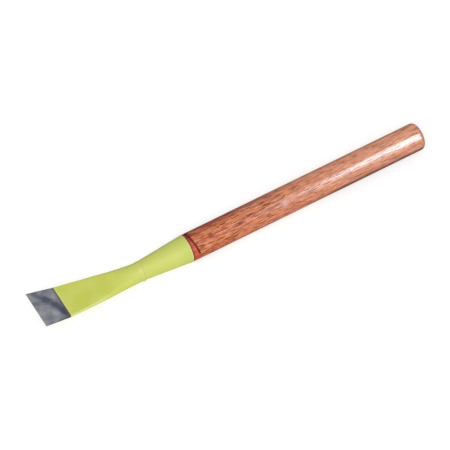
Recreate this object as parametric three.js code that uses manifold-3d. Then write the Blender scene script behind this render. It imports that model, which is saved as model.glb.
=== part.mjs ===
// A long-handled bolster chisel. A forged blade, flared and cranked upwards, is welded at its round
// neck to a socket of sheet steel rolled into a cone. The socket holds the tapered tenon of a round
// hardwood handle, and one screw keeps the handle in.
// The pieces are modelled round the handle's axis, which runs along X: x = 0 is the socket's mouth,
// the cutting edge is on the -X side and the blade's broad face is turned up (+Z). The exported
// group then stands them on the lowest line of the handle, with x = 0 at mid length.
import * as THREE from "three";
import { mergeVertices } from "three/addons/utils/BufferGeometryUtils.js";
import Module from "manifold-3d";

const wasm = await Module();
wasm.setup();

// Driving dimensions, in millimetres.
const gripDiameter = 35; // bare handle, and outside of the socket's mouth
const gripLength = 324; // handle outside the socket
const headLength = 202; // socket's mouth to cutting edge
const neckPlace = -64; // middle of the weld between blade and socket
const neckDiameter = 24;
const edgeWidth = 51; // along the cutting edge
const edgeThickness = 0.8;
const edgeRise = 25.4; // cutting edge above the handle's axis
const groundLength = 34; // bare ground steel behind the cutting edge
const shoulderWidth = 44; // blade where the grinding ends
const shoulderThickness = 5;
const shoulderRise = 15.1;
const sheetThickness = 2.5; // of the rolled socket
const tenonLength = 50;
const seamWidth = 1.6; // open seam along the underside of the socket
const fitGap = 0.3; // between pieces that meet

// Sizes that follow from them.
const gripRadius = gripDiameter / 2;
const neckRadius = neckDiameter / 2;
const rootGap = 2; // between blade and socket, where the weld goes in
const neckFace = neckPlace - rootGap / 2; // back end of the blade
const socketEnd = neckPlace + rootGap / 2; // small end of the socket
const roundSides = 48; // sides of every large round piece
const smallSides = 24;
const cutOverrun = 6; // how far a cutting solid runs past what it cuts

// Points (radius, place along X) of a profile, turned about the X axis.
function turned(profile, sides) {
  const points = profile.map(([radius, place]) => new THREE.Vector2(radius, place));
  return new THREE.LatheGeometry(points, sides).rotateZ(-Math.PI / 2);
}

// Part of an ellipse as profile points, from one angle to another, in degrees.
function arc(centre, radii, from, to, steps) {
  return Array.from({ length: steps + 1 }, (_, i) => {
    const angle = THREE.MathUtils.degToRad(THREE.MathUtils.lerp(from, to, i / steps));
    return [centre[0] + radii[0] * Math.cos(angle), centre[1] + radii[1] * Math.sin(angle)];
  });
}

// A closed geometry as a solid that can be joined and cut.
function solid(geometry) {
  const bare = geometry.clone();
  bare.deleteAttribute("normal");
  bare.deleteAttribute("uv");
  const merged = mergeVertices(bare);
  const vertProperties = new Float32Array(merged.attributes.position.array);
  const triVerts = new Uint32Array(merged.index.array);
  return new wasm.Manifold(new wasm.Mesh({ numProp: 3, vertProperties, triVerts }));
}

// A solid as a geometry again.
function geometryOf(made) {
  const { vertProperties, triVerts } = made.getMesh();
  const geometry = new THREE.BufferGeometry();
  geometry.setAttribute("position", new THREE.BufferAttribute(vertProperties, 3));
  geometry.setIndex(new THREE.BufferAttribute(triVerts, 1));
  geometry.computeVertexNormals();
  return geometry;
}

function named(name, geometry, finish) {
  const mesh = new THREE.Mesh(geometry, new THREE.MeshStandardMaterial(finish));
  mesh.name = name;
  return mesh;
}

// Radius of the socket's outside at a place along the axis. The mouth is as wide as the grip.
function coneRadius(place) {
  return THREE.MathUtils.mapLinear(place, socketEnd, 0, neckRadius, gripRadius);
}

// ---- Blade: drawn out from a round neck to a flat, flared plate, then ground to a wedge ----

const neckFade = 2; // power by which the neck's thickness dies away towards the shoulder
const crankCurve = 1.33; // power of the upward sweep
const plateRounding = 0.08; // edge rounding at the shoulder, as a share of half the thickness
const roundShare = 0.65; // the sides are full rounds from the neck to 1 - roundShare of the way
const roundFade = 1.5; // power by which they flatten after that
const forgedSteps = 18;
const cornerSteps = 6;
const plugLength = 9; // round plug at the neck that centres the blade in the socket
const plugRadius = neckRadius - sheetThickness - fitGap;

// Cross-section of the forging at a share of the way from the neck (0) to the shoulder (1).
function forgedSection(share) {
  const left = 1 - share;
  const thickness = shoulderThickness + (neckDiameter - shoulderThickness) * left ** neckFade;
  const rounding = Math.max(plateRounding, Math.min(1, left / roundShare) ** roundFade);
  return {
    place: THREE.MathUtils.lerp(neckFace, groundLength - headLength, share),
    halfWidth: THREE.MathUtils.lerp(neckRadius, shoulderWidth / 2, share),
    halfThickness: thickness / 2,
    rise: shoulderRise * share ** crankCurve,
    corner: (rounding * thickness) / 2,
  };
}

// The outline of a cross-section: a rectangle with rounded corners, in the YZ plane.
function ring({ place, halfWidth, halfThickness, rise, corner }) {
  const quarters = [[1, 1], [-1, 1], [-1, -1], [1, -1]];
  return quarters.flatMap(([side, level], quarter) =>
    Array.from({ length: cornerSteps + 1 }, (_, i) => {
      const angle = (quarter + i / cornerSteps) * (Math.PI / 2);
      const y = side * (halfWidth - corner) + corner * Math.cos(angle);
      const z = rise + level * (halfThickness - corner) + corner * Math.sin(angle);
      return new THREE.Vector3(place, y, z);
    }),
  );
}

// Skins a row of rings that all have the same number of points, and closes both ends.
function loft(rings) {
  const count = rings[0].length;
  const last = (rings.length - 1) * count;
  const faces = [];
  for (let start = 0; start < last; start += count) {
    for (let i = 0; i < count; i += 1) {
      const here = start + i;
      const next = start + ((i + 1) % count);
      faces.push(here, here + count, next, next, here + count, next + count);
    }
  }
  for (let i = 1; i + 1 < count; i += 1) {
    faces.push(0, i, i + 1, last, last + i + 1, last + i);
  }
  const geometry = new THREE.BufferGeometry().setFromPoints(rings.flat());
  geometry.setIndex(faces);
  return geometry;
}

function blade() {
  const rings = Array.from({ length: forgedSteps + 1 }, (_, i) => ring(forgedSection(i / forgedSteps)));
  rings.push(
    ring({
      place: -headLength,
      halfWidth: edgeWidth / 2,
      halfThickness: edgeThickness / 2,
      rise: edgeRise,
      corner: (plateRounding * edgeThickness) / 2,
    }),
  );
  const plug = turned(
    [
      [0, neckFace - cutOverrun],
      [plugRadius, neckFace - cutOverrun],
      [plugRadius, neckFace + plugLength],
      [0, neckFace + plugLength],
    ],
    roundSides,
  );
  return geometryOf(solid(loft(rings)).add(solid(plug)));
}

// ---- Weld: a bead that runs round the neck, over the root gap ----

const beadReach = 2.9; // half the width of its cap
const beadHeight = 1;
const beadSteps = 8;

function neckWeld() {
  const root = plugRadius + fitGap;
  const seat = neckRadius + fitGap;
  const halfRoot = rootGap / 2 - fitGap;
  return turned(
    [
      [root, neckPlace - halfRoot],
      [seat, neckPlace - halfRoot],
      ...arc([seat, neckPlace], [beadHeight, beadReach], -90, 90, beadSteps),
      [seat, neckPlace + halfRoot],
      [root, neckPlace + halfRoot],
      [root, neckPlace - halfRoot],
    ],
    roundSides,
  );
}

// ---- Keeper screw: its head on the far, lower side of the socket, its shank in the tenon ----

const screwPlace = -20;
const screwTurn = THREE.MathUtils.degToRad(-50); // about X, from +Y
const headRadius = 4;
const headHeight = 2.2;
const shankRadius = 1.8;
const shankLength = 13;
const pointLength = 3;
const driveWidth = 1.1;
const driveDepth = 0.8;
const headSeat = coneRadius(screwPlace + headRadius) + fitGap; // from the axis to under the head

function keeperScrew() {
  const outline = [
    [0, -shankLength],
    [shankRadius, pointLength - shankLength],
    [shankRadius, 0],
    ...arc([0, 0], [headRadius, headHeight], 0, 90, cornerSteps),
  ];
  const points = outline.map(([radius, up]) => new THREE.Vector2(radius, up));
  const body = new THREE.LatheGeometry(points, smallSides);
  const drive = new THREE.BoxGeometry(2 * headRadius + driveWidth, 2 * driveDepth, driveWidth);
  return geometryOf(solid(body).subtract(solid(drive.translate(0, headHeight, 0))));
}

// The hole for the shank, through the socket and into the tenon.
function screwHole() {
  const depth = shankLength + fitGap;
  const length = depth + cutOverrun;
  const radius = shankRadius + fitGap;
  const hole = new THREE.CylinderGeometry(radius, radius, length, smallSides);
  hole.translate(screwPlace, headSeat - depth + length / 2, 0);
  return solid(hole.rotateX(screwTurn));
}

// ---- Socket: steel sheet rolled into a cone ----

const lip = 0.5; // rounding of the mouth's inner and outer edges
const lipSteps = 3;

function socket() {
  const mouthBore = gripRadius - sheetThickness;
  const shell = turned(
    [
      [neckRadius - sheetThickness, socketEnd],
      [neckRadius, socketEnd],
      ...arc([gripRadius - lip, -lip], [lip, lip], 0, 90, lipSteps),
      ...arc([mouthBore + lip, -lip], [lip, lip], 90, 180, lipSteps),
      [neckRadius - sheetThickness, socketEnd],
    ],
    roundSides,
  );
  const seam = new THREE.BoxGeometry(2 * cutOverrun - socketEnd, seamWidth, gripRadius);
  seam.translate(socketEnd / 2, 0, -gripRadius);
  return geometryOf(solid(shell).subtract(solid(seam)).subtract(screwHole()));
}

// ---- Handle: a round grip with a rounded butt, and the tapered tenon inside the socket ----

const buttRounding = 6;
const tenonChamfer = 1.5;
const scorePlace = 6.6; // where the scored line crosses the axis
const scoreRadius = 0.5;
const scoreTilt = THREE.MathUtils.degToRad(10.5); // the line is cut askew
const scoreTurn = THREE.MathUtils.degToRad(30); // and leans this way about X

function handle() {
  const inset = sheetThickness + fitGap;
  const buttCentre = [gripRadius - buttRounding, gripLength - buttRounding];
  const body = turned(
    [
      [0, -tenonLength],
      [coneRadius(-tenonLength) - inset - tenonChamfer, -tenonLength],
      [coneRadius(tenonChamfer - tenonLength) - inset, tenonChamfer - tenonLength],
      [coneRadius(fitGap) - inset, fitGap],
      [gripRadius, fitGap],
      ...arc(buttCentre, [buttRounding, buttRounding], 0, 90, cornerSteps),
      [0, gripLength],
    ],
    roundSides,
  );
  const loop = gripRadius / Math.cos(scoreTilt);
  const score = new THREE.TorusGeometry(loop, scoreRadius, cornerSteps, roundSides);
  score.rotateY(Math.PI / 2).rotateZ(scoreTilt).rotateX(scoreTurn).translate(scorePlace, 0, 0);
  return geometryOf(solid(body).subtract(screwHole()).subtract(solid(score)));
}

// ---- Assembly ----

const enamel = { color: 0xc9d068, roughness: 0.45, metalness: 0.1 };
const varnish = { color: 0xc67a52, roughness: 0.3, metalness: 0 };
const zinc = { color: 0xa8a9ac, roughness: 0.35, metalness: 1 };

const screwPivot = new THREE.Group();
const screw = named("keeper_screw", keeperScrew(), zinc);
screw.position.set(screwPlace, headSeat, 0);
screwPivot.rotation.x = screwTurn;
screwPivot.add(screw);

const tool = new THREE.Group();
tool.add(
  named("blade", blade(), enamel),
  named("neck_weld", neckWeld(), enamel),
  named("socket", socket(), enamel),
  named("handle", handle(), varnish),
  screwPivot,
);
tool.position.set((headLength - gripLength) / 2, 0, gripRadius);

const chisel = new THREE.Group();
chisel.add(tool);

export default chisel;
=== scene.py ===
# Looks of the long-handled bolster chisel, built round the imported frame.
# Metres, +Z up. The handle's axis lies along X, with the cutting edge on the -X side.
import math
import bpy
import numpy as np
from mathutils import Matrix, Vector, noise


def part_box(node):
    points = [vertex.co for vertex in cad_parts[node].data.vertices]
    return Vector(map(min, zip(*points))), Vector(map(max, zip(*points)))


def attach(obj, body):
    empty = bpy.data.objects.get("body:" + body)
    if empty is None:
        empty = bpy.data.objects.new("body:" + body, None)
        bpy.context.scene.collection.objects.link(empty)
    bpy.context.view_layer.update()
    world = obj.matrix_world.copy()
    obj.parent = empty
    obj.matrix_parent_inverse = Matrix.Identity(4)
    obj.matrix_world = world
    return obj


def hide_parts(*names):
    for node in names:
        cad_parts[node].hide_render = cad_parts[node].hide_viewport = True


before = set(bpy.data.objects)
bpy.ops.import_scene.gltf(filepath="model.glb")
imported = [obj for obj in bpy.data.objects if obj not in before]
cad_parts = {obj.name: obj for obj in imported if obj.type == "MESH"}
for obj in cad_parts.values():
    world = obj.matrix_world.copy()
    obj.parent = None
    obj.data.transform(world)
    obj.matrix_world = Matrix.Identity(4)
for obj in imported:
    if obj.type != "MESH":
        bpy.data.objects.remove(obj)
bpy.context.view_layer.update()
mm = 0.001
fullTurn = 2 * math.pi
quarterTurn = math.pi / 2
white = (1, 1, 1, 1)

# Places that the frame fixes
handleLow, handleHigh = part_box("handle")
socketLow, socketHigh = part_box("socket")
bladeLow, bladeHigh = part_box("blade")
weldLow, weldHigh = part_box("neck_weld")
gripRadius = (handleHigh.z - handleLow.z) / 2
axisZ = (handleHigh.z + handleLow.z) / 2
mouthX = socketHigh.x
print("frame loaded:", len(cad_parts), "CAD nodes")


def shade(red, green, blue):
    # a colour as a paint chart gives it, 0 to 255, made linear
    def one(value):
        value = value / 255
        return value / 12.92 if value <= 0.04045 else ((value + 0.055) / 1.055) ** 2.4
    return (one(red), one(green), one(blue), 1.0)


class Wire:
    # an output socket; a sum written with wires adds Math nodes to its graph
    def __init__(self, graph, socket):
        self.graph, self.socket = graph, socket

    def __add__(self, other):
        return self.graph.math("ADD", self, other)

    def __sub__(self, other):
        return self.graph.math("SUBTRACT", self, other)

    def __rsub__(self, other):
        return self.graph.math("SUBTRACT", other, self)

    def __mul__(self, other):
        return self.graph.math("MULTIPLY", self, other)

    __radd__ = __add__
    __rmul__ = __mul__


class Graph:
    # an emptied node tree, for a finish or for the sky
    def __init__(self, tree):
        self.tree = tree
        tree.nodes.clear()

    def node(self, kind, settings=None, sockets=None, out=0):
        made = self.tree.nodes.new("ShaderNode" + kind)
        for key, value in (settings or {}).items():
            if key == "stops":
                self.setStops(made.color_ramp.elements, value)
            else:
                setattr(made, key, value)
        for key, value in (sockets or {}).items():
            if isinstance(value, Wire):
                self.tree.links.new(value.socket, made.inputs[key])
            else:
                made.inputs[key].default_value = value
        return Wire(self, made.outputs[out]) if made.outputs else None

    def setStops(self, elements, stops):
        while len(elements) < len(stops):
            elements.new(1.0)
        for element, (place, colour) in zip(elements, stops):
            element.position = place
            element.color = colour

    def math(self, operation, first, second=0.0):
        return self.node("Math", dict(operation=operation), {0: first, 1: second})

    def ramp(self, value, stops):
        return self.node("ValToRGB", dict(stops=stops), {"Fac": value})


class Finish(Graph):
    # one material, written as expressions of the place on the piece
    def __init__(self, name):
        self.material = bpy.data.materials.new(name)
        self.material.use_nodes = True
        super().__init__(self.material.node_tree)
        self.place = self.node("TexCoord", out="Object")
        self.x, self.y, self.z = (self.node("SeparateXYZ", {}, {0: self.place}, axis) for axis in "XYZ")

    def between(self, value, low, high):
        # 0 below low and 1 above high, smooth in between
        settings = dict(interpolation_type="SMOOTHSTEP")
        return self.node("MapRange", settings, {"Value": value, "From Min": low, "From Max": high})

    def below(self, value, low, high):
        return 1 - self.between(value, low, high)

    def band(self, value, middle, half, soft):
        # 1 as far as half on either side of the middle, then fading out over soft
        off = self.math("ABSOLUTE", value - middle)
        return self.below(off, half, half + soft)

    def mix(self, factor, first, second):
        return self.node("Mix", dict(data_type="RGBA"), {0: factor, 6: first, 7: second}, 2)

    def tones(self, value, stops):
        return self.ramp(value, [(place, shade(*colour)) for place, colour in stops])

    def over(self, under, mask, mark):
        # a mark laid over a colour; its share says how well it covers
        return self.mix(mask * mark["share"], under, shade(*mark["colour"]))

    def cloud(self, size, detail=3.0, roughness=0.55, shift=(0.0, 0.0, 0.0)):
        # noise from 0 to 1, with lumps of this size along X, Y and Z
        settings = dict(operation="MULTIPLY_ADD")
        lengths = tuple(1 / length for length in size)
        place = self.node("VectorMath", settings, {0: self.place, 1: lengths, 2: shift})
        values = {"Vector": place, "Scale": 1.0, "Detail": detail, "Roughness": roughness}
        return self.node("TexNoise", {}, values, "Fac")

    def bump(self, height, depth, under=None):
        values = {"Height": height, "Strength": 1.0, "Distance": depth}
        if under:
            values["Normal"] = under
        return self.node("Bump", {}, values, "Normal")

    def facing(self, axis):
        # how far the surface faces along one axis, either way
        normal = self.node("TexCoord", out="Normal")
        return self.math("ABSOLUTE", self.node("SeparateXYZ", {}, {0: normal}, axis))

    def done(self, **sockets):
        named = {name.replace("_", " "): value for name, value in sockets.items()}
        shader = self.node("BsdfPrincipled", {}, named)
        self.node("OutputMaterial", {}, {"Surface": shader})
        return self.material


def addToScene(name, data):
    thing = bpy.data.objects.new(name, data)
    bpy.context.scene.collection.objects.link(thing)
    return thing


def ramped(value, low, high):
    # smooth step from 0 at low to 1 at high, for numbers and arrays
    t = np.clip((value - low) / (high - low), 0, 1)
    return t * t * (3 - 2 * t)


def rough(points, size, seed=0.0):
    # smooth noise of about -1 to 1 at each point, with lumps of this size along X, Y and Z
    scaled = (points / np.array(size)).reshape(-1, 3) + seed
    values = [noise.noise(Vector(p)) for p in scaled.tolist()]
    return np.array(values).reshape(points.shape[:-1])


def dented(points, dent):
    # how deep each point is pressed in, from 0 to the dent's depth
    return dent["depth"] * (0.5 + 0.5 * rough(points, dent["size"], dent["seed"]))


def quads(rows, count, wrapRows=False):
    # faces of a sheet of rows, where each row is a closed ring of points
    here = np.arange(rows * count).reshape(rows, count)
    ahead = np.roll(here, -1, axis=0) if wrapRows else here[1:]
    here = here if wrapRows else here[:-1]
    corners = (here, np.roll(here, -1, axis=1), np.roll(ahead, -1, axis=1), ahead)
    return np.stack(corners, axis=-1).reshape(-1, 4).tolist()


def makePiece(name, points, faces, finish, sharpAngle=40):
    mesh = bpy.data.meshes.new(name)
    mesh.from_pydata(points.reshape(-1, 3).tolist(), [], faces)
    mesh.update()
    mesh.shade_smooth()
    mesh.set_sharp_from_angle(angle=math.radians(sharpAngle))
    mesh.materials.append(finish)
    return addToScene(name, mesh)


def tube(name, rings, finish, sharpAngle):
    # skins a row of rings and closes both ends
    rows, count = rings.shape[:2]
    faces = quads(rows, count)
    faces.append(list(range(count))[::-1])
    faces.append(list(range((rows - 1) * count, rows * count)))
    return makePiece(name, rings, faces, finish, sharpAngle)


def fit(piece, node):
    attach(piece, "root")
    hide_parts(node)


def roundRing(x, radius, angles):
    # points round the handle's axis; x and radius are numbers or one value for each angle
    return np.stack([x + 0 * angles, radius * np.cos(angles), axisZ + radius * np.sin(angles)], axis=-1)


def fromAxis(rings):
    # the way from the handle's axis to each point, and how far it is
    out = rings - np.array([0, 0, axisZ])
    out[..., 0] = 0
    return out, np.linalg.norm(out, axis=-1, keepdims=True)


def angleRow(count):
    return np.linspace(0, fullTurn, count, endpoint=False)


# The studio: camera, sky and lamps

camera = dict(azimuth=-30.26, elevation=56.79, distance=4.135, lens=279.5, aim=(-0.0104, -0.0027, 0.0327))
sky = dict(
    strength=0.57,
    low=0.2,  # the share of its light that it has at and below the horizon
    fullHeight=0.15,  # how far up it reaches its full light, where 1 is overhead
)
lamps = dict(
    key=dict(
        at=(-0.7, -1.1, 1.62),
        aim=(0, 0, 0),
        size=(1.4, 1.4),
        spread=180,
        watts=23.5,
        colour=(1, 1, 1),
        lights=True,
    ),
    # this one shows only as gloss, mostly as one long soft highlight on the varnish towards the butt
    strip=dict(
        at=(0.56, -0.425, 0.523),
        aim=(0.5, 0, 0.0175),
        size=(0.36, 0.5),
        spread=80,
        watts=3.9,
        colour=(0.62, 0.88, 1.0),
        lights=False,
    ),
)


def direction(azimuth, elevation):
    a, e = math.radians(azimuth), math.radians(elevation)
    return Vector((math.sin(a) * math.cos(e), -math.cos(a) * math.cos(e), math.sin(e)))


def makeCamera():
    data = bpy.data.cameras.new("camera")
    data.lens = camera["lens"]
    data.clip_end = 100
    view = addToScene("camera", data)
    back = direction(camera["azimuth"], camera["elevation"])
    view.location = Vector(camera["aim"]) + back * camera["distance"]
    view.rotation_mode = "QUATERNION"
    view.rotation_quaternion = (-back).to_track_quat("-Z", "Y")
    bpy.context.scene.camera = view


def makeSky():
    world = bpy.data.worlds.new("sky")
    bpy.context.scene.world = world
    world.use_nodes = True
    g = Graph(world.node_tree)
    up = g.node("SeparateXYZ", {}, {0: g.node("TexCoord", out="Generated")}, "Z")
    lowGrey = (sky["low"], sky["low"], sky["low"], 1)
    light = g.ramp(up, [(0.0, lowGrey), (sky["fullHeight"], white)])
    glow = g.node("Background", {}, {"Color": light, "Strength": sky["strength"]})
    g.node("OutputWorld", {}, {"Surface": glow})


def makeLamp(name, look):
    data = bpy.data.lights.new(name, "AREA")
    data.shape = "RECTANGLE"
    data.size, data.size_y = look["size"]
    data.spread = math.radians(look["spread"])
    data.energy = look["watts"]
    data.color = look["colour"]
    lamp = addToScene(name, data)
    lamp.location = look["at"]
    away = Vector(look["at"]) - Vector(look["aim"])
    lamp.rotation_euler = away.to_track_quat("Z", "Y").to_euler()
    lamp.visible_camera = False
    lamp.visible_diffuse = look["lights"]


floorLook = dict(
    size=30.0,
    colour=(0.65, 0.65, 0.65, 1),
    grit=(0.55, 0.55, 0.55, 1),
    gritSize=0.4,
    gritShare=0.06,
    roughness=0.9,
    glow=0.5,
)


def floorFinish():
    f = Finish("paleFloor")
    look = floorLook
    grit = f.cloud((look["gritSize"],) * 3)
    above = f.node("BsdfPrincipled", {}, {
        "Base Color": f.mix(grit * look["gritShare"], look["colour"], look["grit"]),
        "Roughness": look["roughness"],
        "Specular IOR Level": 0.0,
        "Emission Color": white,
        "Emission Strength": look["glow"],
    })
    # clear from underneath, so that the tool can be seen from below
    below = f.node("BsdfTransparent")
    under = f.node("NewGeometry", out="Backfacing")
    f.node("OutputMaterial", {}, {"Surface": f.node("MixShader", {}, {0: under, 1: above, 2: below})})
    return f.material


def makeFloor():
    half = floorLook["size"] / 2
    points = np.array([(-half, -half, 0), (half, -half, 0), (half, half, 0), (-half, half, 0)])
    floor = makePiece("floor", points, [(0, 1, 2, 3)], floorFinish())
    floor.visible_glossy = False  # so that the varnish and the enamel keep their dark sides


# The handle

grip = dict(
    sides=160,
    cap=0.3 * mm,  # radius of the last ring at each end
    tenonLength=50 * mm,
    tenonChamfer=1.5 * mm,
    wall=2.8 * mm,  # socket wall and the gap inside it
    smallRadius=12 * mm,  # outside of the socket at its small end
    shoulderGap=0.05 * mm,
    shoulderRounding=0.25 * mm,
    shoulderSteps=4,
    buttRounding=6 * mm,
    buttSteps=14,
    buttRings=11,
    sharpAngle=60,
    fineStretch=15 * mm,  # closely spaced rings beside the socket, for the score
    fineStep=0.22 * mm,
    step=0.9 * mm,
    score=dict(
        place=6.6 * mm,
        tilt=10.5,
        turn=30,
        width=0.5 * mm,
        depth=0.4 * mm,
        drop=0.12 * mm,  # how much thinner the handle is between socket and score
        dropHalf=0.3 * mm,
        fadeTurn=209.5,  # the line fades out on this side of the handle
        fade=(11 * mm, 14.5 * mm),
    ),
    grain=dict(size=(28 * mm, 1.5 * mm, 1.5 * mm), depth=0.05 * mm, seed=0.0),
    wander=dict(size=(60 * mm, 14 * mm, 14 * mm), depth=0.09 * mm, seed=4.0),
    smoothCore=2 * mm,  # no relief on the ends within this distance of the axis
)

woodLook = dict(
    tones=((0.3, (150, 56, 26)), (0.45, (200, 100, 54)), (0.56, (211, 117, 60)), (0.72, (226, 144, 98))),
    clouds=dict(
        wander=dict(size=(90 * mm, 11 * mm, 11 * mm), detail=2.0),
        broad=dict(size=(60 * mm, 6 * mm, 6 * mm), detail=2.0),
        fibre=dict(size=(22 * mm, 1.7 * mm, 1.7 * mm), detail=4.0, roughness=0.6),
        fine=dict(size=(10 * mm, 1 * mm, 1 * mm), detail=2.0, roughness=0.6),
        dash=dict(size=(14 * mm, 1.3 * mm, 1.3 * mm), roughness=0.58, shift=(3.1, 0.0, 7.7)),
        longDash=dict(size=(34 * mm, 1.2 * mm, 1.2 * mm), shift=(1.7, 4.0, 2.2)),
        paleDash=dict(size=(20 * mm, 1.2 * mm, 1.2 * mm), shift=(8.4, 2.0, 0.6)),
        pores=dict(size=(5 * mm, 0.45 * mm, 0.45 * mm), detail=2.0, roughness=0.5, shift=(0.0, 5.3, 1.2)),
    ),
    # where a cloud turns into a mark
    edges=dict(dash=(0.54, 0.62), longDash=(0.53, 0.61), paleDash=(0.54, 0.64), pores=(0.6, 0.72)),
    # how much each of these lightens the wood, from a dark start
    weights=dict(fibre=0.8, broad=0.35, fine=1.5, rings=0.08, along=0.05, start=-0.86),
    # growth rings, round a middle beside the handle in Y and Z
    rings=dict(middle=(0.03, -0.05), gap=2.6 * mm, waver=2.2, rise=(0.0, 0.75), fall=(0.82, 1.0)),
    # painted shade and light: the far side is darker beside the socket and a little lighter towards the butt
    farSideShading=dict(across=(-2 * mm, 12 * mm), along=(-0.01, 0.12), dark=0.42, fade=0.54),
    dashFade=0.45,  # the short streaks thin out towards the butt
    longDashGain=0.8,  # and the long ones come in
    butt=dict(colour=(253, 189, 158), share=0.46),
    paleStreak=dict(colour=(236, 160, 124), share=0.75),
    streak=dict(colour=(112, 30, 4), share=0.85),
    pore=dict(colour=(78, 24, 10), share=0.6),
    # painted shade: a dark stripe along the lower near side, towards the butt, where the underside is in
    # shade
    undersideShade=dict(colour=(96, 34, 14), share=0.9, waver=3 * mm, across=(15 * mm, 18.4 * mm), along=(0.09, 0.15)),
    # the smooth band beside the socket; its far side is painted darker, as painted shade
    band=dict(
        near=(198, 66, 28),
        far=(124, 40, 18),
        share=0.7,
        past=(-0.6 * mm, 0.2 * mm),
        across=(-12 * mm, 9 * mm),
    ),
    scoreStain=dict(colour=(112, 8, 0), share=0.95, middle=-0.2 * mm, half=0.8 * mm, soft=0.9 * mm),
    # painted shade: a dark patch on the far side between socket and score
    corner=dict(colour=(112, 8, 0), share=0.85, lean=0.3, length=6 * mm, across=(-14 * mm, -8 * mm)),
    # painted shadow on the wood under the socket's lip
    lipShadow=dict(colour=(120, 70, 22), share=1.0, reach=(0.7 * mm, 2.6 * mm)),
    # painted reflection: a faint pale patch on the varnish
    paintedReflection=dict(
        colour=(232, 186, 180),
        share=0.45,
        middle=(0.0675, -0.011, 0.0308),
        waver=3 * mm,
        reach=(2 * mm, 9 * mm),
    ),
    relief=dict(pores=0.8, streaks=0.5, fibre=0.5, depth=0.12 * mm),
    coatLoss=dict(pores=0.5, streaks=0.6),
    coatStart=0.6,  # the varnish is rubbed thinner beside the socket
    coatFull=(-0.04, 0.08),
    coatRoughness=0.28,
    coatIor=1.5,
    roughness=0.5,
    poreRoughness=0.2,
    specular=0.27,
)


def scoreLine(x, y, z):
    # how far a place lies past the slanting line along X, and how far towards the side where it fades
    score = grip["score"]

    def towards(degrees):
        turn = math.radians(degrees)
        return y * math.cos(turn) + (z - axisZ) * math.sin(turn)

    past = x + towards(score["turn"]) * math.tan(math.radians(score["tilt"])) - (mouthX + score["place"])
    return past, towards(score["fadeTurn"])


def growthRings(f, waver):
    rings = woodLook["rings"]
    offY = f.y - rings["middle"][0]
    offZ = f.z - axisZ - rings["middle"][1]
    far = f.math("SQRT", offY * offY + offZ * offZ)
    place = f.math("FRACT", far * (1 / rings["gap"]) + waver * rings["waver"])
    return f.between(place, *rings["rise"]) * f.below(place, *rings["fall"])


def woodTone(f, clouds, along):
    weights, farSideShading = woodLook["weights"], woodLook["farSideShading"]
    # painted shade: the far side darker beside the socket, a little lighter towards the butt
    fading = farSideShading["dark"] - f.between(f.x, *farSideShading["along"]) * farSideShading["fade"]
    tone = growthRings(f, clouds["wander"]) * weights["rings"] + along * weights["along"] + weights["start"]
    for name in ("fibre", "broad", "fine"):
        tone = tone + clouds[name] * weights[name]
    return tone - f.between(f.y, *farSideShading["across"]) * fading


def besideSocket(f, colour, stained, past, side):
    # the smooth band, the scored line, a painted shade in the far corner and a painted shadow under the
    # socket's lip
    look = woodLook
    band, corner, lipShadow = look["band"], look["corner"], look["lipShadow"]
    # painted shade: the band is darker on its far side
    smooth = f.mix(f.between(f.y, *band["across"]), shade(*band["near"]), shade(*band["far"]))
    colour = f.mix(f.below(past, *band["past"]) * band["share"], colour, smooth)
    colour = f.over(colour, stained, look["scoreStain"])
    fromMouth = f.x - mouthX
    # painted shade in the far corner between socket and score
    nearSocket = f.below(fromMouth + side * corner["lean"], 0, corner["length"])
    farCornerShade = nearSocket * f.below(side, *corner["across"])
    colour = f.over(colour, farCornerShade, corner)
    # painted shadow under the socket's lip
    return f.over(colour, f.below(fromMouth, *lipShadow["reach"]), lipShadow)


def varnishedWood():
    f = Finish("varnishedWood")
    look = woodLook
    clouds = {name: f.cloud(**cloud) for name, cloud in look["clouds"].items()}
    masks = {name: f.between(clouds[name], *edges) for name, edges in look["edges"].items()}
    fibre, pores = clouds["fibre"], masks["pores"]
    along = f.between(f.x, mouthX, handleHigh.x)
    shortStreaks = masks["dash"] * (1 - along * look["dashFade"])
    streaks = shortStreaks + masks["longDash"] * along * look["longDashGain"]
    colour = f.tones(woodTone(f, clouds, along), look["tones"])
    colour = f.over(colour, along, look["butt"])
    colour = f.over(colour, masks["paleDash"], look["paleStreak"])
    colour = f.over(colour, streaks, look["streak"])
    colour = f.over(colour, pores, look["pore"])

    past, side = scoreLine(f.x, f.y, f.z)
    # painted shade along the handle's lower near side, towards the butt
    undersideShade = look["undersideShade"]
    undersideShadeMask = f.between(side + fibre * undersideShade["waver"], *undersideShade["across"]) * f.between(f.x, *undersideShade["along"])
    colour = f.over(colour, undersideShadeMask, undersideShade)
    stain = look["scoreStain"]
    kept = f.below(side, *grip["score"]["fade"])
    stained = f.band(past, stain["middle"], stain["half"], stain["soft"]) * kept
    colour = besideSocket(f, colour, stained, past, side)
    # painted reflection: a pale patch on the varnish
    paintedReflection = look["paintedReflection"]
    off = f.node("VectorMath", dict(operation="DISTANCE"), {0: f.place, 1: paintedReflection["middle"]}, "Value")
    colour = f.over(colour, f.below(off + fibre * paintedReflection["waver"], *paintedReflection["reach"]), paintedReflection)

    relief, loss = look["relief"], look["coatLoss"]
    height = 1 - pores * relief["pores"] - streaks * relief["streaks"] + fibre * relief["fibre"]
    coat = look["coatStart"] + f.between(f.x, *look["coatFull"]) * (1 - look["coatStart"])
    return f.done(
        Base_Color=colour,
        Roughness=look["roughness"] + pores * look["poreRoughness"],
        Specular_IOR_Level=look["specular"],
        Normal=f.bump(height, relief["depth"]),
        Coat_Weight=(1 - pores * loss["pores"] - streaks * loss["streaks"]) * (1 - stained) * coat,
        Coat_Roughness=look["coatRoughness"],
        Coat_IOR=look["coatIor"],
    )


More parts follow.
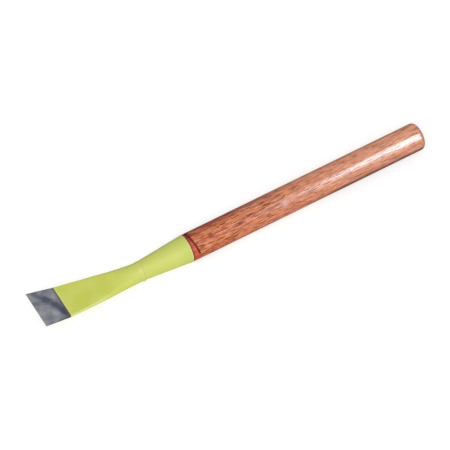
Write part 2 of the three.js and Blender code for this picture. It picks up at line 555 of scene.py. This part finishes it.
def handleProfile():
    # places along X and radii, from the tip of the tenon to the middle of the butt
    tenonTip = mouthX - grip["tenonLength"]
    slope = (gripRadius - grip["smallRadius"]) / (weldHigh.x - mouthX)
    tipRadius = gripRadius - grip["wall"] + slope * grip["tenonLength"]
    chamfer, lip = grip["tenonChamfer"], grip["shoulderRounding"]
    profile = [(tenonTip, grip["cap"]), (tenonTip, tipRadius - chamfer), (tenonTip + chamfer, tipRadius)]
    shoulder = mouthX + grip["shoulderGap"]
    profile.append((shoulder, gripRadius - grip["wall"]))
    for a in np.linspace(0, quarterTurn, grip["shoulderSteps"] + 1):
        profile.append((shoulder + lip * (1 - math.cos(a)), gripRadius - lip * (1 - math.sin(a))))

    fineStep = grip["fineStep"]
    fineEnd = mouthX + grip["fineStretch"]
    buttRound = grip["buttRounding"]
    roundStart = handleHigh.x - buttRound
    fine = np.arange(profile[-1][0] + fineStep, fineEnd, fineStep)
    plain = np.linspace(fineEnd, roundStart, int((roundStart - fineEnd) / grip["step"]))
    profile += [(x, gripRadius) for x in np.concatenate([fine, plain])]
    for a in np.linspace(0, quarterTurn, grip["buttSteps"] + 1)[1:]:
        profile.append((roundStart + buttRound * math.sin(a), gripRadius - buttRound * (1 - math.cos(a))))
    for radius in np.linspace(gripRadius - buttRound, grip["cap"], grip["buttRings"] + 1)[1:]:
        profile.append((handleHigh.x, radius))
    return profile


def makeHandle():
    angles = angleRow(grip["sides"])
    rings = np.array([roundRing(x, radius, angles) for x, radius in handleProfile()])
    # grain relief and the scored line, cut inwards
    score = grip["score"]
    cut = dented(rings, grip["grain"]) + dented(rings, grip["wander"])
    past, side = scoreLine(rings[..., 0], rings[..., 1], rings[..., 2])
    kept = 1 - ramped(side, *score["fade"])
    cut = cut + score["depth"] * kept * np.exp(-((past / score["width"]) ** 2))
    cut = cut + score["drop"] * (1 - ramped(past, -score["dropHalf"], score["dropHalf"]))
    out, size = fromAxis(rings)
    keep = ramped(size[..., 0], grip["smoothCore"], gripRadius - grip["buttRounding"])
    rings = rings - out / size * (cut * keep)[..., None]
    piece = tube("gripAndTenon", rings, varnishedWood(), grip["sharpAngle"])
    fit(piece, "handle")


# The blade

forging = dict(
    steps=110,
    groundSteps=36,
    flat=20,  # points along the broad faces
    side=6,
    corner=9,
    sharpAngle=32,
    neckRadius=12 * mm,
    shoulderWidth=44 * mm,
    shoulderThickness=5 * mm,
    shoulderRise=15.1 * mm,
    groundLength=34 * mm,
    edgeThickness=0.8 * mm,
    crankCurve=1.33,
    neckFade=2.0,
    roundShare=0.65,  # the sides are full rounds from the neck to 1 - roundShare of the way
    roundFade=1.5,
    squareShare=0.4,  # the round neck has turned into a rounded rectangle here
    minCorner=0.35 * mm,
    maxCorner=0.98,  # corner rounding at the neck, as a share of half the thickness
    paint=0.1 * mm,  # thickness of the enamel
    plugLength=9 * mm,
    plugRadius=9.2 * mm,
    plugChamfer=0.6 * mm,
    cap=0.3 * mm,
    hammer=dict(size=(22 * mm, 15 * mm, 15 * mm), depth=0.16 * mm, seed=0.0),
    ripple=dict(size=(6 * mm, 5 * mm, 5 * mm), depth=0.03 * mm, seed=9.0),
    groundDents=0.25,  # how much of the dents the grinding leaves
    groundFade=(-6 * mm, 4 * mm),  # past the shoulder
    plugFade=0.1 * mm,
    nicks=dict(
        reach=1.6 * mm,
        depth=0.45 * mm,
        small=dict(size=2.2 * mm, seed=2.5, start=0.1),
        long=dict(size=7 * mm, share=0.4),
    ),
)

enamelLook = dict(
    body=(198, 205, 80),
    pale=(204, 211, 98),
    patches=dict(size=(26 * mm, 18 * mm, 18 * mm)),
    patchEdges=(0.35, 0.65),
    specks=dict(size=(3 * mm, 3 * mm, 3 * mm)),
    speck=dict(colour=(178, 203, 92), share=0.15, edges=(0.55, 0.8)),
    peel=dict(size=(1.6 * mm, 1.6 * mm, 1.6 * mm), detail=2.0),
    peelDepth=0.06 * mm,
    waves=dict(size=(9 * mm, 7 * mm, 7 * mm), detail=2.0),
    waveDepth=0.3 * mm,
    neck=dict(colour=(202, 208, 104), share=0.7, length=40 * mm),
    # painted light: the narrow sides of the enamel are paler near the ground end
    paintedSideShading=dict(colour=(226, 230, 158), share=0.6, past=(30 * mm, 75 * mm)),
    # painted highlight: a pale line along the paint's edge
    paintEdgeHighlight=dict(colour=(216, 220, 150), share=0.7, past=(0.7 * mm, 1.5 * mm)),
    paintFade=0.05 * mm,  # half the width over which the paint stops
    flankFacing=(0.6, 0.85),  # what counts as a narrow side
    roughness=0.5,
    coat=0.15,
    coatRoughness=0.35,
)

steelLook = dict(
    tones=((0.36, (104, 108, 124)), (0.5, (148, 152, 160)), (0.66, (190, 188, 198))),
    patches=dict(size=(15 * mm, 12 * mm, 15 * mm), detail=4.0, roughness=0.6, shift=(2.0, 1.0, 0.0)),
    lines=dict(size=(14 * mm, 0.35 * mm, 9 * mm), roughness=0.6),
    lineDepth=0.04 * mm,
    metal=0.9,
    roughness=0.42,
    patchRoughness=0.12,
    dull=dict(metal=0.8, roughness=0.2),  # how far scorched or narrow places lose and gain these
    weights=dict(patches=0.5, lines=0.3, worn=0.1, stain=-0.12, start=0.1),
    worn=(2 * mm, 13 * mm),  # brighter near the cutting edge
    # a dark smear across the grinding
    stain=dict(slant=1.56, waver=14 * mm, middle=43 * mm, half=2 * mm, soft=11 * mm),
    spots=(  # soft spots, as metres from the cutting edge, metres across, size, and how light
        (27.7 * mm, 9.3 * mm, 9 * mm, 0.14),
        (19.4 * mm, -11.6 * mm, 11 * mm, 0.16),
        (17.2 * mm, 9 * mm, 9 * mm, -0.16),
        (23.5 * mm, 0 * mm, 9 * mm, -0.12),
        (28.9 * mm, -14.2 * mm, 9 * mm, -0.14),
        (14 * mm, 21 * mm, 9 * mm, 0.12),
        (4 * mm, 4 * mm, 10 * mm, -0.07),
    ),
    spotWaver=5 * mm,
    spotCore=1 * mm,
    heated=dict(colour=(84, 82, 116), share=0.7, along=(3 * mm, 13 * mm), across=(-16 * mm, 6 * mm)),
    # painted shade: the narrow sides of the ground steel are darker
    paintedSideShading=dict(colour=(72, 76, 70), share=0.8),
    # the line of scorched paint where the grinding stops
    scorch=dict(colour=(92, 90, 46), share=0.9, slant=0.025, along=(1.4 * mm, 2.6 * mm)),
)


def enamelColour(f):
    look = enamelLook
    broad, fine = f.cloud(**look["patches"]), f.cloud(**look["specks"])
    colour = f.mix(f.between(broad, *look["patchEdges"]), shade(*look["body"]), shade(*look["pale"]))
    return f.over(colour, f.between(fine, *look["speck"]["edges"]), look["speck"])


def enamelNormal(f):
    look = enamelLook
    peel = f.bump(f.cloud(**look["peel"]), look["peelDepth"])
    return f.bump(f.cloud(**look["waves"]), look["waveDepth"], peel)


def groundTone(f, patches, lines):
    # cloudy patches and fine grinding lines along the blade, then the smear and the spots
    steel = steelLook
    weights, stain = steel["weights"], steel["stain"]
    fromEdge = f.x - bladeLow.x
    aslant = f.y + fromEdge * stain["slant"] + patches * stain["waver"]
    smear = f.band(aslant, stain["middle"], stain["half"], stain["soft"])
    worn = f.below(fromEdge, *steel["worn"])
    tone = patches * weights["patches"] + lines * weights["lines"] + worn * weights["worn"]
    tone = tone + smear * weights["stain"] + weights["start"]
    for along, across, size, amount in steel["spots"]:
        offX, offY = fromEdge - along, f.y - across
        off = f.math("SQRT", offX * offX + offY * offY) + patches * steel["spotWaver"]
        tone = tone + f.below(off, steel["spotCore"], size) * amount
    return tone


def bladeFinish():
    f = Finish("enamelAndGroundSteel")
    look, steel = enamelLook, steelLook
    past = f.x - (bladeLow.x + forging["groundLength"])  # above 0 on the enamel
    before = past * -1
    painted = f.between(past, -look["paintFade"], look["paintFade"])
    # painted shading on the narrow sides: paler enamel and darker steel
    paintedSideShading = f.between(f.facing("Y"), *look["flankFacing"])
    neck = f.between(f.x, bladeHigh.x - look["neck"]["length"], bladeHigh.x)
    enamel = f.over(enamelColour(f), neck, look["neck"])
    enamel = f.over(enamel, paintedSideShading * f.below(past, *look["paintedSideShading"]["past"]), look["paintedSideShading"])
    # painted highlight along the paint's edge
    enamel = f.over(enamel, f.below(past, *look["paintEdgeHighlight"]["past"]), look["paintEdgeHighlight"])

    patches, lines = f.cloud(**steel["patches"]), f.cloud(**steel["lines"])
    heated, scorch = steel["heated"], steel["scorch"]
    ground = f.tones(groundTone(f, patches, lines), steel["tones"])
    nearCorner = f.below(before, *heated["along"]) * f.below(f.y, *heated["across"])
    ground = f.over(ground, nearCorner, heated)
    ground = f.over(ground, paintedSideShading, steel["paintedSideShading"])
    burnt = f.below(before + f.y * scorch["slant"], *scorch["along"])
    ground = f.over(ground, burnt, scorch)

    bare = 1 - painted
    dull = f.math("MAXIMUM", burnt, paintedSideShading)
    bareRoughness = steel["roughness"] + patches * steel["patchRoughness"] + dull * steel["dull"]["roughness"]
    return f.done(
        Base_Color=f.mix(painted, ground, enamel),
        Metallic=bare * (steel["metal"] - dull * steel["dull"]["metal"]),
        Roughness=bare * bareRoughness + painted * look["roughness"],
        Coat_Weight=painted * look["coat"],
        Coat_Roughness=look["coatRoughness"],
        Normal=f.bump(lines * bare, steel["lineDepth"], enamelNormal(f)),
    )


def outline(halfWidth, halfThickness, corner, square):
    # a cross-section, from an ellipse (square 0) to a rectangle with rounded corners (square 1)
    quarters = ((1, 1), (-1, 1), (-1, -1), (1, -1))
    centres = [np.array((y * (halfWidth - corner), z * (halfThickness - corner))) for y, z in quarters]
    points = []
    for quarter, centre in enumerate(centres):
        angles = (quarter + np.linspace(0, 1, forging["corner"] + 1)) * quarterTurn
        bend = corner * np.stack([np.cos(angles), np.sin(angles)], axis=-1)
        start = centre + bend[-1]
        end = centres[(quarter + 1) % 4] + bend[-1]
        run = forging["side"] if quarter % 2 else forging["flat"]
        points.append(centre + bend[:-1])
        points.append(start + (end - start) * np.arange(run)[:, None] / run)
    box = np.concatenate(points)
    angles = (np.arange(len(box)) + forging["side"] / 2) / len(box) * fullTurn
    oval = np.stack([halfWidth * np.cos(angles), halfThickness * np.sin(angles)], axis=-1)
    return oval + (box - oval) * square


def bladeRing(x, halfWidth, halfThickness, corner, square, rise):
    flat = outline(halfWidth, halfThickness, corner, square)
    return np.column_stack([np.full(len(flat), x), flat[:, 0], axisZ + rise + flat[:, 1]])


def forgedRing(share, neckX, shoulderX):
    # share runs from 0 at the round neck to 1 where the grinding starts
    left = 1 - share
    neck, end = forging["neckRadius"], forging["shoulderThickness"] / 2
    halfThickness = end + (neck - end) * left ** forging["neckFade"] + forging["paint"] * share
    halfWidth = neck + (forging["shoulderWidth"] / 2 - neck) * share + forging["paint"] * share
    rounding = min(1, left / forging["roundShare"]) ** forging["roundFade"]
    corner = max(forging["minCorner"], rounding * halfThickness * forging["maxCorner"])
    square = ramped(share, 0, forging["squareShare"])
    rise = forging["shoulderRise"] * share ** forging["crankCurve"]
    return bladeRing(neckX + (shoulderX - neckX) * share, halfWidth, halfThickness, corner, square, rise)


def groundRing(share, shoulderX):
    # share runs from 0 at the shoulder to 1 at the cutting edge
    def along(start, end):
        return start + (end - start) * share
    halfThickness = along(forging["shoulderThickness"], forging["edgeThickness"]) / 2
    halfWidth = along(forging["shoulderWidth"] / 2, bladeHigh.y)
    edgeRise = bladeHigh.z - axisZ - forging["edgeThickness"] / 2
    rise = along(forging["shoulderRise"], edgeRise)
    corner = min(forging["minCorner"], halfThickness / 2)
    return bladeRing(along(shoulderX, bladeLow.x), halfWidth, halfThickness, corner, 1, rise)


def outwards(rings):
    # the direction away from the section at every point, across the blade
    tangent = np.roll(rings, -1, axis=1) - np.roll(rings, 1, axis=1)
    normal = np.stack([0 * tangent[..., 0], tangent[..., 2], -tangent[..., 1]], axis=-1)
    return normal / np.linalg.norm(normal, axis=-1, keepdims=True)


def bladeRings(neckX, shoulderX):
    plug, chamfer, endX = forging["plugRadius"], forging["plugChamfer"], bladeHigh.x
    turned = [(endX, forging["cap"]), (endX, plug - chamfer), (endX - chamfer, plug), (neckX, plug)]
    rings = [bladeRing(x, radius, radius, 0, 0, 0) for x, radius in turned]
    for share in np.arange(forging["steps"] + 1) / forging["steps"]:
        rings.append(forgedRing(share, neckX, shoulderX))
    for share in np.linspace(0, 1, forging["groundSteps"] + 1):
        rings.append(groundRing(share, shoulderX - forging["paint"]))
    return np.array(rings)


def makeBlade():
    neckX = bladeHigh.x - forging["plugLength"]
    shoulderX = bladeLow.x + forging["groundLength"]
    rings = bladeRings(neckX, shoulderX)
    dent = dented(rings, forging["hammer"]) + dented(rings, forging["ripple"])
    fadeStart, fadeEnd = forging["groundFade"]
    unground = ramped(rings[..., 0], shoulderX + fadeStart, shoulderX + fadeEnd)
    forged = 1 - ramped(rings[..., 0], neckX - forging["plugFade"], neckX)
    kept = forging["groundDents"] + (1 - forging["groundDents"]) * unground
    rings = rings - outwards(rings) * (dent * forged * kept)[..., None]
    # small nicks worn into the cutting edge
    nicks = forging["nicks"]
    nearEdge = 1 - ramped(rings[..., 0], bladeLow.x, bladeLow.x + nicks["reach"])
    across = rings * np.array([0, 1, 0])
    small = rough(across, (1, nicks["small"]["size"], 1), nicks["small"]["seed"]) - nicks["small"]["start"]
    long = rough(across, (1, nicks["long"]["size"], 1))
    nick = np.clip(small, 0, 1) + nicks["long"]["share"] * np.clip(long, 0, 1)
    rings[..., 0] += nick * nearEdge * nicks["depth"]
    piece = tube("forgedBlade", rings[::-1], bladeFinish(), forging["sharpAngle"])
    fit(piece, "blade")


# The socket, rolled from sheet

roll = dict(
    wall=2.5 * mm,
    seam=1.6 * mm,
    around=150,
    along=70,
    lip=0.6 * mm,
    lipSteps=5,
    sharpAngle=50,
    dent=dict(size=(24 * mm, 16 * mm, 16 * mm), depth=0.1 * mm, seed=6.0),
    roundMouth=12 * mm,  # the dents die out over this distance from the mouth
)

socketLook = dict(
    body=dict(colour=(202, 208, 104), share=0.8),
    patches=dict(size=(4 * mm, 3 * mm, 3 * mm), detail=4.0),
    green=dict(colour=(178, 203, 92), share=0.3, waver=14 * mm, reach=(10 * mm, 30 * mm)),
    # a pale peach line at the mouth: bare metal at the rim, and a painted highlight on its rounded lip
    rim=dict(colour=(232, 200, 142), share=1.0, waver=0.8 * mm, reach=(1.2 * mm, 2.1 * mm)),
    roughness=0.48,
    patchRoughness=0.06,
)


def coneRadius(x):
    share = (x - mouthX) / (socketLow.x - mouthX)
    return gripRadius + (forging["neckRadius"] - gripRadius) * share


def socketFinish():
    f = Finish("socketEnamel")
    look = socketLook
    colour = f.over(enamelColour(f), 1, look["body"])
    fromMouth = (f.x - mouthX) * -1
    patchy = f.cloud(**look["patches"])
    # the rim line is partly a painted highlight
    for mark in (look["green"], look["rim"]):
        colour = f.over(colour, f.below(fromMouth + patchy * mark["waver"], *mark["reach"]), mark)
    return f.done(
        Base_Color=colour,
        Roughness=look["roughness"] + patchy * look["patchRoughness"],
        Coat_Weight=enamelLook["coat"],
        Coat_Roughness=enamelLook["coatRoughness"],
        Normal=enamelNormal(f),
    )


def socketRings():
    # each ring runs along the outside and back along the inside, with the seam underneath
    lip, wall = roll["lip"], roll["wall"]
    rows = [(x, 0.0) for x in np.linspace(socketLow.x, mouthX - lip, roll["along"])]
    for a in np.linspace(0, quarterTurn, roll["lipSteps"] + 1)[1:]:
        rows.append((mouthX - lip * (1 - math.sin(a)), lip * (1 - math.cos(a))))
    rings = []
    for x, pinch in rows:
        outer, inner = coneRadius(x) - pinch, coneRadius(x) - wall + pinch
        gap = roll["seam"] / 2 / outer
        angles = np.linspace(gap, fullTurn - gap, roll["around"]) - quarterTurn
        rings.append(np.concatenate([roundRing(x, outer, angles), roundRing(x, inner, angles[::-1])]))
    return np.array(rings)


def makeSocket():
    rings = socketRings()
    out, size = fromAxis(rings)
    low = dented(rings, roll["dent"])
    low = low * (1 - ramped(rings[..., 0], mouthX - roll["roundMouth"], mouthX))
    rings = rings - out / size * low[..., None]
    rows, count = rings.shape[:2]
    faces = quads(rows, count)
    last = (rows - 1) * count
    for i in range(roll["around"] - 1):
        strip = (i, i + 1, count - 2 - i, count - 1 - i)
        faces.append([last + k for k in strip])
        faces.append(list(strip[::-1]))
    piece = makePiece("rolledSocket", rings, faces, socketFinish(), roll["sharpAngle"])
    fit(piece, "socket")


# The weld

bead = dict(
    around=264,
    across=22,
    sharpAngle=60,
    reach=2.7 * mm,
    height=0.42 * mm,
    fullness=1.3,  # lower makes the bead's section fuller
    sink=0.25 * mm,  # how far the toes of the bead lie under the neck and the socket
    flare=0.087,  # how fast the socket widens
    root=0.9 * mm,
    rootInset=0.4 * mm,
    ripples=36,
    rippleDepth=0.07 * mm,
    rippleCurve=0.3,
    waverRadius=2,  # radius of the circle that the bead's uneven width and height are read on
    heightWaver=0.35,
    widthWaver=0.12,
    placeWaver=0.25 * mm,
    lump=dict(angle=209, spread=7, height=1.0 * mm),  # where the bead starts and stops
)

beadLook = dict(
    body=(202, 208, 104),
    patches=dict(size=(2.4 * mm, 2.4 * mm, 2.4 * mm), detail=4.0),
    pale=dict(colour=(216, 220, 150), share=0.3, edges=(0.5, 0.75)),
    roughness=0.42,
    patchRoughness=0.1,
    coat=0.25,
    coatRoughness=0.25,
)


def weldFinish():
    f = Finish("weldEnamel")
    look = beadLook
    patchy = f.cloud(**look["patches"])
    pale = f.between(patchy, *look["pale"]["edges"])
    return f.done(
        Base_Color=f.over(shade(*look["body"]), pale, look["pale"]),
        Roughness=look["roughness"] + patchy * look["patchRoughness"],
        Coat_Weight=look["coat"],
        Coat_Roughness=look["coatRoughness"],
        Normal=enamelNormal(f),
    )


def beadSection(angle):
    # one section of the bead: its rippled cap, then the two corners of its root
    lump, neck = bead["lump"], forging["neckRadius"]
    middle = (weldLow.x + weldHigh.x) / 2
    u = np.linspace(-1, 1, bead["across"])
    spot = np.array([[[math.cos(angle), math.sin(angle), 0.0]]]) * bead["waverRadius"]
    waver = rough(spot, (1, 1, 1))[0, 0]
    off = (math.degrees(angle) - lump["angle"]) / lump["spread"]
    rise = bead["height"] * (1 + bead["heightWaver"] * waver) + lump["height"] * math.exp(-off * off)
    phase = bead["ripples"] * angle / fullTurn + bead["rippleCurve"] * u * u
    scallop = bead["rippleDepth"] * np.abs(np.sin(math.pi * phase))
    height = (rise + scallop) * np.cos(u * quarterTurn) ** bead["fullness"]
    x = middle + u * bead["reach"] * (1 + bead["widthWaver"] * waver) + bead["placeWaver"] * waver
    radius = neck + np.clip(x - middle, 0, 1) * bead["flare"] - bead["sink"] * np.abs(u) + height
    cap = roundRing(x, radius, np.full(len(u), angle))
    rootX = np.array([x[-1] - bead["rootInset"], x[0] + bead["rootInset"]])
    return np.concatenate([cap, roundRing(rootX, neck - bead["root"], np.full(2, angle))])


def makeWeld():
    rings = np.array([beadSection(angle) for angle in angleRow(bead["around"])])
    faces = quads(*rings.shape[:2], wrapRows=True)
    piece = makePiece("neckWeldBead", rings, faces, weldFinish(), bead["sharpAngle"])
    fit(piece, "neck_weld")


# The keeper screw

screw = dict(
    place=-20 * mm,  # from the socket's mouth
    turn=-50,
    seatGap=0.3 * mm,
    headRadius=4 * mm,
    headHeight=2.2 * mm,
    headChamfer=0.15 * mm,
    headSteps=12,
    headCap=0.2 * mm,
    rim=0.5 * mm,
    shankRadius=1.75 * mm,
    shankLength=13 * mm,
    shankStep=0.25 * mm,
    plainLength=0.6 * mm,
    pointLength=3 * mm,
    pointRadius=0.15 * mm,
    threadDepth=0.35 * mm,
    pitch=1.5 * mm,
    threadSteepness=4,
    slot=(9 * mm, 1.6 * mm, 1.1 * mm),
    sides=48,
    sharpAngle=35,
)

zincLook = dict(
    tones=((0.35, (150, 148, 140)), (0.6, (196, 198, 203))),
    tarnish=dict(size=(1.2 * mm, 1.2 * mm, 1.2 * mm), detail=4.0),
    depth=0.05 * mm,
    roughness=0.3,
    tarnishRoughness=0.2,
)


def zincFinish():
    f = Finish("zincSteel")
    tarnish = f.cloud(**zincLook["tarnish"])
    return f.done(
        Base_Color=f.tones(tarnish, zincLook["tones"]),
        Metallic=1.0,
        Roughness=zincLook["roughness"] + tarnish * zincLook["tarnishRoughness"],
        Normal=f.bump(tarnish, zincLook["depth"]),
    )


def uprightRing(radius, up, angles):
    return np.column_stack([radius * np.sin(angles), np.full(len(angles), up), radius * np.cos(angles)])


def screwRings():
    # the screw stands along Y here, with the underside of its head at 0
    angles = angleRow(screw["sides"])
    point, length, thread = screw["pointRadius"], screw["shankLength"], screw["threadDepth"]
    shank, head, chamfer = screw["shankRadius"], screw["headRadius"], screw["headChamfer"]
    rings = []
    for up in np.arange(-length, -screw["plainLength"], screw["shankStep"]):
        share = min(1, (up + length) / screw["pointLength"])
        core = point + (shank - thread - point) * share
        phase = (up / screw["pitch"] - angles / fullTurn) % 1
        ridge = thread * share * np.clip(1 - np.abs(phase - 0.5) * screw["threadSteepness"], 0, 1)
        rings.append(uprightRing(core + ridge, up, angles))
    rim, top = screw["rim"], screw["headHeight"]
    profile = [(shank, -screw["plainLength"] / 2), (shank, 0.0)]
    profile += [(head - chamfer, 0.0), (head, chamfer), (head, rim)]
    for a in np.linspace(0, quarterTurn, screw["headSteps"] + 1)[1:-1]:
        profile.append((head * math.cos(a), rim + (top - rim) * math.sin(a)))
    profile.append((screw["headCap"], top))
    return np.array(rings + [uprightRing(radius, up, angles) for radius, up in profile])


def cutSlot(piece):
    signs = [(x, y, z) for x in (-1, 1) for y in (-1, 1) for z in (-1, 1)]
    corners = np.array(signs) * np.array(screw["slot"]) / 2 + np.array((0, screw["headHeight"], 0))
    sides = [(0, 1, 3, 2), (4, 6, 7, 5), (0, 4, 5, 1), (2, 3, 7, 6), (0, 2, 6, 4), (1, 5, 7, 3)]
    cutter = makePiece("slotCutter", corners, sides, piece.data.materials[0])
    cut = piece.modifiers.new("slot", "BOOLEAN")
    cut.object = cutter
    bpy.context.view_layer.update()
    evaluated = piece.evaluated_get(bpy.context.evaluated_depsgraph_get())
    mesh = bpy.data.meshes.new_from_object(evaluated)
    piece.modifiers.clear()
    piece.data = mesh
    bpy.data.objects.remove(cutter)


def makeScrew():
    piece = tube("keeperScrewSlotted", screwRings(), zincFinish(), screw["sharpAngle"])
    cutSlot(piece)
    screwX = mouthX + screw["place"]
    seat = coneRadius(screwX + screw["headRadius"]) + screw["seatGap"]
    turn = math.radians(screw["turn"])
    for vertex in piece.data.vertices:
        x, up, z = vertex.co
        out = up + seat
        y = out * math.cos(turn) - z * math.sin(turn)
        vertex.co = (x + screwX, y, axisZ + out * math.sin(turn) + z * math.cos(turn))
    piece.data.set_sharp_from_angle(angle=math.radians(screw["sharpAngle"]))
    fit(piece, "keeper_screw")


makeCamera()
makeSky()
for name, look in lamps.items():
    makeLamp(name, look)
makeFloor()
print("stage ready")
makeBlade()
print("blade made")
makeSocket()
makeWeld()
makeScrew()
print("socket, weld and screw made")
makeHandle()
print("handle made")
bpy.context.scene.view_settings.view_transform = "Standard"
